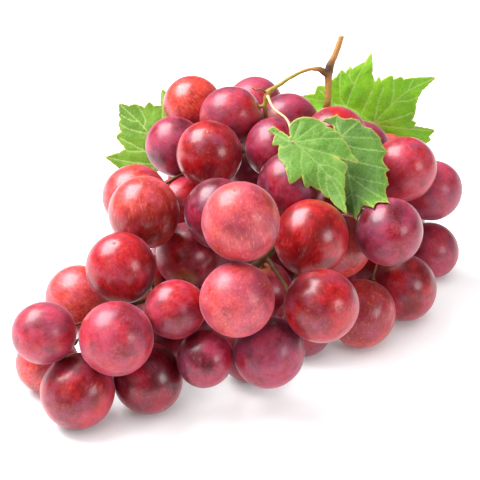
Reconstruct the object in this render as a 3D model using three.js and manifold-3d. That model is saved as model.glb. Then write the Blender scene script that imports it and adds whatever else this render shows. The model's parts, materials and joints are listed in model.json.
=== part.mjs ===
// A bunch of red table grapes with four vine leaves, lying on its side as picked.
// Millimetres, +Z up. X runs along the bunch, from its tip (-X) to its shoulders and stem (+X).
// The origin is on the surface that the bunch lies on, under the middle of its bounding box.

import * as THREE from 'three';
import { mergeVertices } from 'three/addons/utils/BufferGeometryUtils.js';
import Module from 'manifold-3d';

// ---------------------------------------------------------------- driving dimensions

const GAP = 0.3;               // clear space kept between neighbouring pieces
const BERRY_STRETCH = 1.05;    // length of a berry along its stalk, over its width
const BERRY_DETAIL = 2;        // subdivision of the icosahedron that a berry is made from
const SETTLE_ROUNDS = 400;     // passes that ease crowded berries apart
const CLEAR_ROUNDS = 60;       // passes that ease a stalk clear of the berries

const STALK_RADIUS = 0.65;     // the short stalk of one berry
const COLLAR_RADIUS = 1.7;     // swollen end of a stalk, against its berry

const SLIVER = 0.04;           // edges shorter than this close up

const LEAF_THICKNESS = 0.8;    // grown a little for strength, a real blade is thinner
const PETIOLE_RADIUS = 0.8;
const LEAF_RINGS = [0.28, 0.55, 0.8, 1];
const SWAY_START = 12;         // height above the veins' meeting where a swayed blade starts to bend
const LEAF_EASE = 1.3;         // a blade stands this far off the berries that it lies against

// ---------------------------------------------------------------- berries

// Berries by height in the heap. Each is [x, y, z, width]; those of the bed rest on the surface.
const BERRIES = {
  bed: [
    [-81, 1, 11, 22], [-79, -24, 13, 26], [-54, -28, 12, 25], [-40, -12, 10, 21], [-14, -32, 10, 20],
    [13, -26, 11, 22], [36, -31, 13, 25], [60, -24, 13, 25], [88, -3, 11, 22],
    [-51, 25, 11, 22], [-14, -2, 12, 23], [11, 1, 12, 24], [37, -3, 12, 24], [62, 5, 12, 24],
    [-5, 40, 12, 24], [20, 44, 12, 25], [45, 46, 12, 24], [68, 40, 12, 25], [88, 22, 12, 24],
    [27, 20, 13, 24],
  ],
  low: [
    [-37, -40, 22, 20], [-29, 20, 19, 23], [-18, -48, 25, 25], [-62, 11, 27, 25], [-87, -14, 33, 22],
  ],
  middle: [
    [-67, -31, 35, 26], [-44, -31, 39, 21], [-19, 6, 36, 24], [-7, 36, 40, 24], [34, -17, 36, 24],
    [-1, -57, 41, 26], [88, 30, 36, 24], [89, 1, 37, 24],
    [14, 58, 38, 24], [39, 62, 36, 24], [63, 45, 36, 24],
  ],
  upper: [
    [-53, -7, 48, 25], [-27, -45, 46, 26], [-27, 31, 51, 24], [14, -28, 51, 27], [43, -36, 49, 25],
    [69, 23, 50, 24], [72, -4, 53, 25], [-36, 9, 57, 26],
  ],
  top: [
    [-12, -5, 57, 25], [0, 50, 57, 23], [-21, -37, 70, 27], [2, 27, 64, 25], [16, 64, 65, 23],
    [22, 42, 68, 23], [43, 62, 60, 23], [43, 39, 62, 24], [27, 21, 63, 23], [21, -2, 59, 26],
    [51, 13, 64, 25],
  ],
};

// ---------------------------------------------------------------- stem

// The main stem runs through the heart of the bunch and leaves it between the top berries.
const RACHIS = [
  [-66, -8, 27], [-42, -4, 29], [-16, -14, 31], [8, -6, 34], [28, 4, 40], [42, 18, 46],
  [49, 27, 58], [52.5, 25, 73], [57, 30, 85], [61, 31, 91], [65, 33, 97],
];
const RACHIS_RADII = [0.9, 1.2, 1.6, 2.0, 2.1, 2.1, 1.6, 1.5, 1.5, 1.35, 1.3];

// Side branches, from the main stem outwards. The first is the arm that arches over the shoulder.
const BRANCHES = [
  { radii: [1.3, 0.85, 0.8, 0.95, 1.25, 0.8], points: [[57, 30, 85], [52, 32, 86.5], [46, 34, 85],
    [38, 35, 81.5], [32, 35, 78.5], [32, 34, 66]] },
  { radii: [1.2, 1.0, 0.9], points: [[-16, -14, 31], [-20, -26, 34], [-14, -34, 44]] },
  { radii: [1.2, 1.0, 0.9], points: [[8, -6, 34], [6, -24, 30], [0, -38, 34]] },
  { radii: [1.3, 1.1, 0.9], points: [[8, -6, 34], [10, 18, 38], [4, 40, 44]] },
  { radii: [1.4, 1.1, 1.0], points: [[42, 18, 46], [34, 40, 46], [28, 52, 50]] },
  { radii: [1.4, 1.2, 1.0], points: [[42, 18, 46], [62, 14, 32], [76, 14, 26]] },
  { radii: [1.2, 1.0, 0.9], points: [[28, 4, 40], [44, -10, 34], [52, -20, 34]] },
];

// ---------------------------------------------------------------- leaves

// Every leaf is drawn in a plane that faces the front left and upwards, in mm from the point
// where its veins meet: across to the right, then up. Its outline runs anticlockwise, from the
// notch of its stalk round to it again, through each sinus and tooth. Its lift is how far a point
// of the blade stands off that plane, and its side is 1 where it lies on top of the berries and -1
// where it stands behind them. A sway bends the blade to the right above its middle. The stalk
// runs from the veins back into the bunch.
const LEAF_RIGHT = new THREE.Vector3(0.866, -0.5, 0);
const LEAF_UP = new THREE.Vector3(0.25, 0.433, 0.866);
const LEAF_FACE = new THREE.Vector3().crossVectors(LEAF_RIGHT, LEAF_UP);

const LEAVES = {
  leaf_rear: {
    side: -1,
    sway: 0.007,
    veinsMeet: [90, 44, 48],
    outline: [
      [-2, -3], [-4, -8], [0, -10], [4, -14], [6, -11], [11, -13], [12, -10], [16, -12.5], [18, -10],
      [23, -10.5], [22, -8], [24.5, -6.5], [23.5, -5], [26, -2.5], [21.5, -1.5], [17, -1], [18, 0.5],
      [16, 1.5], [17.5, 5.5], [17.5, 8], [18.5, 11], [20, 13.8], [23, 16.8], [25.5, 19.3], [16.5, 19],
      [12, 18.2], [11, 19.5], [7.7, 18], [7, 20], [2.6, 17.5], [1.5, 19.5], [0, 16.5], [-1.5, 20.5],
      [-2.4, 26], [-3.2, 29.3], [-5, 25.5], [-10, 22.5], [-10.9, 23.8], [-12.5, 21], [-14.3, 22.3],
      [-16, 19.5], [-20, 15.4], [-23.5, 15.8], [-24.5, 12.5], [-30, 11.7], [-27, 8.5], [-28, 4.5],
      [-23, 3], [-23.5, -2], [-17, -4], [-10, -4],
    ],
    lift: (across, up) => 0.3 * up - 0.006 * (across * across + up * up),
    stalk: [[78, 44, 53], [66, 38, 58], [57, 31, 66]],
  },
  leaf_left: {
    side: -1,
    sway: 0,
    veinsMeet: [1, 69, 41],
    outline: [
      [2, -2], [5, -4], [8, -3], [7, 1], [10, 4], [8, 9], [10, 14], [7, 17], [8, 22], [4.5, 25],
      [3.6, 29.7], [1.6, 31], [1.2, 24.1], [-1.6, 24.1], [-3.6, 25.7], [-5.6, 23.3], [-9.6, 24.9],
      [-12, 24], [-16, 25.2], [-15.8, 21.3], [-16.3, 20.6], [-15.3, 18.5], [-16.2, 17], [-14.9, 13.3],
      [-17, 11.3], [-14, 7.6], [-13.3, 6], [-15.7, 4.6], [-18.9, 3.7], [-21.5, 3], [-19.3, 1.2],
      [-17.3, -0.4], [-15.3, -2], [-13, -4], [-14, -7], [-9, -7], [-8, -11], [-4, -8], [-3, -11],
      [0, -8], [0, -3],
    ],
    lift: (across, up) => -0.1 * up - 0.005 * (across * across + up * up),
    stalk: [[0, 62, 41], [1, 54, 42], [4, 46, 45]],
  },
  leaf_front_light: {
    side: 1,
    sway: 0,
    veinsMeet: [21, -3, 77],
    outline: [
      [-1.4, 2.2], [-4.8, 4.6], [-7, 6.3], [-9.2, 4.9], [-6.3, 3.1], [-7.4, -0.7], [-4.8, -0.9],
      [-5.2, -5.5], [-2.6, -8.8], [-1.1, -15.5], [3.3, -12.1], [4.8, -16.9], [6.6, -15.8],
      [10.3, -17.9], [12.3, -20.6], [13.6, -20.6], [15.8, -23.8], [17.6, -25.2], [19.3, -26.6],
      [18.8, -23], [18.6, -17.5], [18.8, -12.1], [20, -8.6], [15, -5.2], [20.6, -6.6], [24.6, -7.7],
      [21.7, -4.4], [19.1, 0.7], [16.2, 4.4], [12.9, 5.9], [10.7, 8.1], [6.3, 9.6], [3.3, 9.6],
      [1.1, 8.8], [-0.9, 7], [-0.8, 2.6],
    ],
    lift: (across, up) => {
      const off = 0.81 * across + 0.59 * up;
      const fold = off > 0 ? 0.4 * off - 0.012 * off * off : 0.12 * off;
      return -0.35 * up + fold;
    },
    stalk: [[24, 4, 80], [27, 12, 79.5], [29, 24, 78], [31, 32, 79.5]],
  },
  leaf_front_dark: {
    side: 1,
    sway: 0,
    veinsMeet: [44, -1, 73],
    outline: [
      [-3, 4], [-7.4, 6], [-6, 7.4], [-1.5, 8.9], [0.7, 7.1], [4, 7.4], [7.1, 6.7], [8.6, 4.1],
      [11.5, 3.3], [13.4, 1.1], [14.9, -0.7], [15.3, -3], [17.5, -6], [16, -7.4], [15.3, -9.3],
      [17.9, -13], [16, -14.1], [16.7, -16], [17.1, -18.6], [16, -19.7], [15.6, -22.7], [16.4, -26],
      [11.5, -25.7], [10.4, -27.9], [7.4, -26.4], [4.5, -32], [0.7, -28.6], [-2, -24], [-5, -22],
      [-4, -16], [-7, -13], [-6.5, -9], [-9, -6], [-6, -3], [-9, 0], [-6, 2], [-3, 2.6],
    ],
    lift: (across, up) => -0.5 * up + 0.15 * across,
    stalk: [[38, 6, 72], [37, 14, 68], [37, 15, 58], [39, 16, 51]],
  },
};

// ---------------------------------------------------------------- solids

const wasm = await Module();
wasm.setup();

function toSolid(geometry) {
  const plain = geometry.clone();
  plain.deleteAttribute('normal');
  plain.deleteAttribute('uv');
  const welded = mergeVertices(plain, 1e-4);
  return new wasm.Manifold(new wasm.Mesh({
    numProp: 3,
    vertProperties: new Float32Array(welded.attributes.position.array),
    triVerts: new Uint32Array(welded.index.array),
  }));
}

// Joining and cutting leave slivers, which close up before the solid is drawn.
function toGeometry(solid) {
  const mesh = solid.simplify(SLIVER).getMesh();
  const geometry = new THREE.BufferGeometry();
  geometry.setAttribute('position', new THREE.BufferAttribute(mesh.vertProperties, 3));
  geometry.setIndex(new THREE.BufferAttribute(mesh.triVerts, 1));
  geometry.computeVertexNormals();
  return geometry;
}

// A closed geometry from corner points and triangles.
function fromPoints(points, triangles) {
  const geometry = new THREE.BufferGeometry().setFromPoints(points);
  geometry.setIndex(triangles);
  geometry.computeVertexNormals();
  return geometry;
}

// A tapered round rod through the points, with one radius for each of them.
function rod(points, radii, sides) {
  const curve = new THREE.CatmullRomCurve3(points, false, 'centripetal');
  const last = points.length - 1;
  const corners = [];
  const triangles = [];
  let side = new THREE.Vector3(0.3, 0.5, 0.8);
  for (let ring = 0; ring <= last; ring++) {
    const tangent = curve.getTangent(ring / last);
    side = side.addScaledVector(tangent, -side.dot(tangent)).normalize();
    const across = new THREE.Vector3().crossVectors(tangent, side);
    for (let k = 0; k < sides; k++) {
      const turn = (2 * Math.PI * k) / sides;
      corners.push(points[ring].clone()
        .addScaledVector(side, radii[ring] * Math.cos(turn))
        .addScaledVector(across, radii[ring] * Math.sin(turn)));
    }
    if (ring === 0) continue;
    const low = (ring - 1) * sides;
    for (let k = 0; k < sides; k++) {
      const next = (k + 1) % sides;
      triangles.push(low + k, low + next, low + sides + next);
      triangles.push(low + k, low + sides + next, low + sides + k);
    }
  }
  const end = last * sides;
  for (let k = 1; k < sides - 1; k++) {
    triangles.push(0, k + 1, k);
    triangles.push(end, end + k, end + k + 1);
  }
  return fromPoints(corners, triangles);
}

// Points and radii along a route, spaced evenly on a smooth curve.
function alongRoute(points, radii, count) {
  const curve = new THREE.CatmullRomCurve3(points.map((p) => new THREE.Vector3(...p)), false, 'centripetal');
  const places = [];
  const widths = [];
  for (let k = 0; k < count; k++) {
    const t = k / (count - 1);
    const at = t * (radii.length - 1);
    const low = Math.min(Math.floor(at), radii.length - 2);
    places.push(curve.getPoint(t));
    widths.push(THREE.MathUtils.lerp(radii[low], radii[low + 1], at - low));
  }
  return { places, widths };
}

// ---------------------------------------------------------------- placing the berries

const UP = new THREE.Vector3(0, 0, 1);

function plantBerries() {
  const berries = [];
  for (const [tier, rows] of Object.entries(BERRIES)) {
    rows.forEach(([x, y, z, width], index) => berries.push({
      name: `berry_${tier}_${String(index + 1).padStart(2, '0')}`,
      onSurface: tier === 'bed',
      centre: new THREE.Vector3(x, y, z),
      across: width / 2,
      along: (width / 2) * BERRY_STRETCH,
      axis: new THREE.Vector3(0, 0, 1),
    }));
  }
  return berries;
}

// How far a berry reaches from its centre towards a direction.
function reach(berry, direction) {
  const lean = direction.dot(berry.axis);
  const spread = berry.along * berry.along - berry.across * berry.across;
  return Math.sqrt(berry.across * berry.across + spread * lean * lean);
}

function nearest(places, target) {
  let best = places[0];
  for (const place of places) {
    if (place.distanceToSquared(target) < best.distanceToSquared(target)) best = place;
  }
  return best;
}

// Each berry hangs straight out from the nearest place on the stem.
function aimBerries(berries, branchPlaces) {
  for (const berry of berries) {
    berry.root = nearest(branchPlaces, berry.centre);
    berry.axis.subVectors(berry.centre, berry.root).normalize();
  }
}

// Crowded berries ease apart until every pair keeps its gap and none sinks into the surface.
function settleBerries(berries) {
  const between = new THREE.Vector3();
  for (let round = 0; round < SETTLE_ROUNDS; round++) {
    for (let i = 0; i < berries.length; i++) {
      for (let j = i + 1; j < berries.length; j++) {
        between.subVectors(berries[j].centre, berries[i].centre);
        const apart = between.length();
        between.divideScalar(apart);
        const needed = reach(berries[i], between) + reach(berries[j], between) + GAP;
        if (apart >= needed) continue;
        berries[i].centre.addScaledVector(between, (apart - needed) / 2);
        berries[j].centre.addScaledVector(between, (needed - apart) / 2);
      }
    }
    for (const berry of berries) {
      const rest = reach(berry, UP);
      berry.centre.z = berry.onSurface ? rest : Math.max(berry.centre.z, rest);
    }
  }
}

function berryGeometry(berry) {
  const geometry = new THREE.IcosahedronGeometry(1, BERRY_DETAIL);
  geometry.scale(berry.across, berry.across, berry.along);
  return geometry;
}

function berryMesh(berry) {
  const mesh = new THREE.Mesh(berryGeometry(berry), new THREE.MeshStandardMaterial({
    color: 0xa83244, roughness: 0.35, metalness: 0,
  }));
  mesh.name = berry.name;
  mesh.position.copy(berry.centre);
  mesh.quaternion.setFromUnitVectors(UP, berry.axis);
  return mesh;
}

// ---------------------------------------------------------------- routes between berries

// Eases the points of a route away from the berries, and spreads each shift along it so that it
// stays smooth. Its first point stays where it is, and its last one too unless it is loose.
function clearRoute(places, widths, berries, looseEnd = false) {
  const start = places.map((place) => place.clone());
  const shiftOf = (k) => places[k].clone().sub(start[k]);
  const away = new THREE.Vector3();
  const last = places.length - 1;
  for (let round = 0; round < CLEAR_ROUNDS; round++) {
    for (let k = 1; k <= (looseEnd ? last : last - 1); k++) {
      const beside = shiftOf(k - 1).lerp(shiftOf(Math.min(k + 1, last)), 0.5);
      if (round < CLEAR_ROUNDS - 10) places[k].addVectors(start[k], shiftOf(k).lerp(beside, 0.5));
      for (const berry of berries) {
        away.subVectors(places[k], berry.centre);
        const apart = away.length();
        away.divideScalar(apart);
        const needed = reach(berry, away) + widths[k] + 2 * GAP;
        if (apart < needed) places[k].addScaledVector(away, needed - apart);
      }
    }
  }
}

// The berries grown by the gap, to take out of a solid wherever it comes too close.
function trimToBerries(solid, berries) {
  const box = solid.boundingBox();
  for (const berry of berries) {
    const far = berry.along + 1;
    const beside = [berry.centre.x, berry.centre.y, berry.centre.z]
      .some((value, axis) => value + far < box.min[axis] || value - far > box.max[axis]);
    if (beside) continue;
    const grown = { ...berry, across: berry.across + GAP, along: berry.along + GAP };
    const geometry = berryGeometry(grown);
    geometry.applyQuaternion(new THREE.Quaternion().setFromUnitVectors(UP, berry.axis));
    geometry.translate(berry.centre.x, berry.centre.y, berry.centre.z);
    solid = solid.subtract(toSolid(geometry));
  }
  return solid;
}

// ---------------------------------------------------------------- stem and leaves

function stemRoutes() {
  const routes = [alongRoute(RACHIS, RACHIS_RADII, 28)];
  for (const branch of BRANCHES) routes.push(alongRoute(branch.points, branch.radii, 9));
  return routes;
}

// The main stem is cleared first, and then each branch from where it leaves the main stem.
function clearStem(routes, berries) {
  const [main, ...branches] = routes;
  clearRoute(main.places, main.widths, berries, true);
  for (const branch of branches) {
    branch.places[0].copy(nearest(main.places, branch.places[0]));
    clearRoute(branch.places, branch.widths, berries, true);
  }
}

function stemGeometry(berries, routes) {
  let solid = null;
  const join = (geometry) => {
    const piece = toSolid(geometry);
    solid = solid ? solid.add(piece) : piece;
  };
  for (const { places, widths } of routes) join(rod(places, widths, 6));
  for (const berry of berries) {
    const tip = berry.centre.clone().addScaledVector(berry.axis, -berry.along - GAP);
    const widths = [1, 1, 1, 1.1, COLLAR_RADIUS / STALK_RADIUS].map((share) => share * STALK_RADIUS);
    const places = widths.map((width, k) => berry.root.clone().lerp(tip, k / (widths.length - 1)));
    places[3].lerp(tip, 0.55);
    clearRoute(places, widths, berries.filter((other) => other !== berry));
    join(rod(places, widths, 5));
  }
  return toGeometry(trimToBerries(solid, berries));
}

// Where a point of a blade lies: on its plane, and off it by its own lift, eased over the berries.
function bladePoint(leaf, across, up, berries) {
  const sway = leaf.sway * Math.max(0, up - SWAY_START) ** 2;
  const flat = new THREE.Vector3(...leaf.veinsMeet)
    .addScaledVector(LEAF_RIGHT, across + sway)
    .addScaledVector(LEAF_UP, up);
  let lift = leaf.lift(across, up) * leaf.side;
  for (const berry of berries) {
    const towards = berry.centre.clone().sub(flat);
    const depth = towards.dot(LEAF_FACE);
    const clear = berry.along + LEAF_THICKNESS / 2 + LEAF_EASE;
    const inside = clear * clear - (towards.lengthSq() - depth * depth);
    if (inside > 0) lift = Math.max(lift, depth * leaf.side + Math.sqrt(inside));
  }
  return flat.addScaledVector(LEAF_FACE, lift * leaf.side);
}

// The blade: rings of the outline, drawn in towards the meeting of the veins, lifted off the plane
// and given a thickness along the surface's own direction.
function bladeGeometry(leaf, berries) {
  const count = leaf.outline.length;
  const middle = [bladePoint(leaf, 0, 0, berries)];
  for (const ring of LEAF_RINGS) {
    for (const [across, up] of leaf.outline) {
      middle.push(bladePoint(leaf, across * ring, up * ring, berries));
    }
  }
  const face = [];
  for (let k = 0; k < count; k++) {
    const next = (k + 1) % count;
    face.push(0, 1 + k, 1 + next);
    for (let ring = 1; ring < LEAF_RINGS.length; ring++) {
      const inner = 1 + (ring - 1) * count;
      const outer = inner + count;
      face.push(inner + k, outer + k, outer + next, inner + k, outer + next, inner + next);
    }
  }
  const sheet = fromPoints(middle, face);
  const normals = sheet.attributes.normal;
  const offset = (sign) => middle.map((point, k) => point.clone().addScaledVector(
    new THREE.Vector3().fromBufferAttribute(normals, k), sign * LEAF_THICKNESS / 2));
  const back = middle.length;
  const triangles = [...face];
  for (let k = 0; k < face.length; k += 3) {
    triangles.push(back + face[k], back + face[k + 2], back + face[k + 1]);
  }
  const rim = 1 + (LEAF_RINGS.length - 1) * count;
  for (let k = 0; k < count; k++) {
    const here = rim + k;
    const next = rim + ((k + 1) % count);
    triangles.push(here, back + here, back + next, here, back + next, next);
  }
  return fromPoints([...offset(1), ...offset(-1)], triangles);
}

function leafGeometry(leaf, berries) {
  const foot = bladePoint(leaf, 0, 0, berries).toArray();
  const stalk = alongRoute([foot, ...leaf.stalk], [PETIOLE_RADIUS, PETIOLE_RADIUS], 8);
  clearRoute(stalk.places, stalk.widths, berries);
  return toGeometry(toSolid(bladeGeometry(leaf, berries)).add(toSolid(rod(stalk.places, stalk.widths, 6))));
}

// ---------------------------------------------------------------- the bunch

const group = new THREE.Group();
const berries = plantBerries();
const routes = stemRoutes();
for (let round = 0; round < 3; round++) {
  aimBerries(berries, routes.flatMap(({ places }) => places.slice(1)));
  settleBerries(berries);
  clearStem(routes, berries);
}
for (const berry of berries) group.add(berryMesh(berry));

const stem = new THREE.Mesh(stemGeometry(berries, routes), new THREE.MeshStandardMaterial({
  color: 0xb9a04a, roughness: 0.65, metalness: 0,
}));
stem.name = 'stem';
group.add(stem);

for (const [name, leaf] of Object.entries(LEAVES)) {
  const mesh = new THREE.Mesh(leafGeometry(leaf, berries), new THREE.MeshStandardMaterial({
    color: 0x7cb342, roughness: 0.5, metalness: 0,
  }));
  mesh.name = name;
  group.add(mesh);
}

const bounds = new THREE.Box3().setFromObject(group, true);
const middle = bounds.getCenter(new THREE.Vector3());
group.position.set(-middle.x, -middle.y, -bounds.min.z);

export default group;
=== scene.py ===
import json
import math

import bpy
import numpy as np
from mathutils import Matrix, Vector, geometry, noise
from mathutils.bvhtree import BVHTree


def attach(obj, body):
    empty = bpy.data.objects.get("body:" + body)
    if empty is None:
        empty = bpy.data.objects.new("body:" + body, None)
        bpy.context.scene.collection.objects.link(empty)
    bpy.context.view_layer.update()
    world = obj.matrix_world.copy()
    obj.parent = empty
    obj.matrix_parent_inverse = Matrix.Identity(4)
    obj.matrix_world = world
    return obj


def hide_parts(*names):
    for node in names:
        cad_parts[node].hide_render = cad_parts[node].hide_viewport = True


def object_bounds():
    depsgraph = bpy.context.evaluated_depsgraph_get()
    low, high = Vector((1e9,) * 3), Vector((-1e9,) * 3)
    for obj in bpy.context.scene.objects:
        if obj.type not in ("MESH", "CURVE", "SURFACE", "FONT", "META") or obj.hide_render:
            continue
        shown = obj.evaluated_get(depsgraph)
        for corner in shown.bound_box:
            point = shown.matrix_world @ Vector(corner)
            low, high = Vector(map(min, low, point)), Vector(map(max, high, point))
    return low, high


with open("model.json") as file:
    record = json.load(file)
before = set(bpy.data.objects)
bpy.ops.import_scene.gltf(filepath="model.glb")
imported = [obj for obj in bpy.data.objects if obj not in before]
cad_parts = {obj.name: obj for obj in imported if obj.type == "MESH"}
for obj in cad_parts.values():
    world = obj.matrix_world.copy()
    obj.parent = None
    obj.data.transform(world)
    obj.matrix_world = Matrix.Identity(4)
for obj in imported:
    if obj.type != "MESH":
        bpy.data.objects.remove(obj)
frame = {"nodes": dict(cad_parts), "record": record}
cad_box = [list(corner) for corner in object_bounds()]

MM = 0.001

# ---------------------------------------------------------------- the view

VIEW_AZIMUTH = math.radians(-30)
VIEW_ELEVATION = math.radians(30)
VIEW_DISTANCE = 0.65
VIEW_LENS = 130                                   # mm, on a sensor 36 mm wide
VIEW_OFF_CENTRE = Vector((-0.0117, -0.0154, -0.0062))   # the view's target, from the box's centre

FLOOR_HALF = 3.0           # half the floor's width
FLOOR_COLOUR = (0.66, 0.67, 0.68, 1)
FLOOR_GLOW = 0.66          # the floor's own light, where nothing is near it
FLOOR_SHADE = 0.018        # how near a thing has to be to shade that light
WORLD_LIGHT = 0.20

# Soft square lights aimed at the bunch: place, size, watts and colour.
LIGHTS = {
    "overhead": ((-0.20, 0.20, 1.6), (2.0, 2.0), 3.0, (1.0, 1.0, 1.0)),
    "rear_top": ((-0.32, 0.40, 0.80), (0.80, 0.60), 23.0, (1.0, 0.98, 1.0)),
    "front_left": ((-0.85, -0.35, 0.60), (0.6, 0.6), 1.2, (1.0, 0.985, 0.97)),
    "front_right": ((0.36, -0.84, 0.40), (0.36, 0.36), 3.6, (0.98, 0.98, 1.0)),
}

# ---------------------------------------------------------------- berries

BERRY_STRETCH = 1.05       # length of a berry along its stalk, over its width
BERRY_PLUMP = 0.15 * MM    # berries swell by half their clear space, until they touch
BERRY_SEGMENTS = 64
BERRY_RINGS = 46
BERRY_POLES = 0.62         # how much closer the rings are at a berry's two ends, from 0 to 1

# Skin colours of each material slot: the deepest, the usual one and the palest.
SKINS = {
    "berry_coral": ((0.29, 0.008, 0.005), (0.62, 0.052, 0.032), (0.80, 0.25, 0.15)),
    "berry_red": ((0.18, 0.001, 0.002), (0.46, 0.007, 0.010), (0.66, 0.085, 0.062)),
    "berry_crimson": ((0.090, 0.0004, 0.004), (0.31, 0.0028, 0.018), (0.60, 0.045, 0.080)),
}

SKIN_SETTINGS = {
    "Subsurface Weight": 0.06, "Subsurface Radius": (1.0, 0.28, 0.20), "Subsurface Scale": 2.5 * MM,
    "IOR": 1.5, "Specular IOR Level": 0.48, "Specular Tint": (1.0, 0.86, 0.92, 1),
    "Sheen Roughness": 0.26, "Sheen Tint": (1.0, 0.58, 0.84, 1), "Coat Roughness": 0.16,
}
BLOOM_TINT = (0.66, 0.20, 0.40)
NECK_TINT = (0.50, 0.22, 0.07)     # round the stalk
RAY_TINT = (0.66, 0.26, 0.18)      # short rays round the scar at the tip
SCAR_TINT = (0.13, 0.045, 0.024)

# Where the powdery bloom is thicker or thinner than usual, from 0, rubbed off, to 1, untouched.
USUAL_BLOOM = 0.45
BLOOM = {
    "berry_upper_04": 0.05, "berry_top_04": 0.2, "berry_top_05": 0.2, "berry_bed_03": 0.15,
    "berry_upper_08": 0.3, "berry_bed_05": 0.3, "berry_upper_01": 0.35, "berry_middle_06": 0.35,
    "berry_top_03": 0.7, "berry_upper_02": 0.75, "berry_low_05": 0.65, "berry_middle_01": 0.6,
    "berry_top_08": 0.6, "berry_top_07": 0.8, "berry_upper_06": 0.7, "berry_low_03": 0.6,
    "berry_middle_08": 0.75, "berry_bed_09": 0.7, "berry_top_06": 0.6, "berry_top_02": 0.6,
}

# ---------------------------------------------------------------- stem

INNER_HEIGHT = 76 * MM     # below it the stem runs inside the bunch, where it has dried brown and is darkened further with painted shade
KNOT_FROM_TOP = (-7.5, -2.5, -11.5)             # mm, from the cut end to the dark knot
KNOT_REACH = 3.4 * MM
ARM_END = (22.6, 23.8, 79.2)                    # mm, where the arm swells before it goes down
ARM_END_REACH = 2.4                             # mm
TWIG = [(22.6, 23.8, 79.6), (21.0, 25.0, 80.9), (19.2, 26.0, 80.5), (18.0, 26.9, 81.4)]     # mm
TWIG_RADIUS = 0.5          # mm, at its foot
TWIG_STEPS = 16
STEM_VOXEL = 0.36 * MM
YOUNG_BARK = ((0.28, 0.22, 0.016), (0.50, 0.38, 0.050))      # the darker and the lighter of each
OLD_BARK = ((0.30, 0.11, 0.020), (0.68, 0.33, 0.08))
# Bark inside the bunch: partly its own dried brown, partly painted shade from the berries round it.
INNER_BARK_DRY_AND_SHADED = ((0.075, 0.030, 0.008), (0.20, 0.085, 0.020))
FIBRE_TINT = (0.11, 0.045, 0.016)
DRY_TINT = (0.60, 0.42, 0.18)
KNOT_TINT = (0.045, 0.016, 0.006)
PITH_TINT = (0.58, 0.44, 0.24)
STEM_SETTINGS = {
    "Subsurface Weight": 0.08, "Subsurface Radius": (1.0, 0.7, 0.3), "Subsurface Scale": 0.8 * MM,
}

# ---------------------------------------------------------------- leaves

# A leaf is drawn in a plane that faces the front left and upwards, in mm from the point where its
# veins meet: across to the right, then up.
LEAF_RIGHT = Vector((0.866, -0.5, 0))
LEAF_UP = Vector((0.25, 0.433, 0.866))
LEAF_FACE = LEAF_RIGHT.cross(LEAF_UP)

LEAF_GRID = 0.55           # mm between the points of a blade
LEAF_HALF = 0.16           # mm, half the thickness of a blade
LEAF_CLEAR = 0.5           # mm between a blade's middle and a berry
VEIN_SHARE = {"back": 0.60, "front": 0.28}      # how clearly the veins of a leaf show
VEIN_TINT = (0.50, 0.64, 0.20)
RIM_TINT = (0.62, 0.52, 0.12)
LEAF_SETTINGS = {
    "Subsurface Weight": 0.45, "Subsurface Radius": (0.7, 1.0, 0.25), "Subsurface Scale": 0.7 * MM,
    "Specular IOR Level": 0.35,
}
PETIOLE_TINTS = ((0.68, 0.42, 0.28), (0.62, 0.52, 0.24))
PETIOLE_RADIUS = 0.45      # mm
LIFT_ROUNDS = 240          # passes that carry the CAD blade's lift over to the fine one:
FILL_UNTIL = 200           # up to this one, points past the CAD blade's edge take their neighbours' mean
SMOOTH_FROM = 160          # and from this one all of them are smoothed
EASE_ROUNDS = 80           # passes that ease a leaf's stalk clear of the berries
STALK_STEPS = 28
STALK_GAP = 0.2            # mm between a leaf's stalk and a berry
SWAY_START = 12            # mm above the veins' meeting where a swayed blade starts to bend

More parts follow.
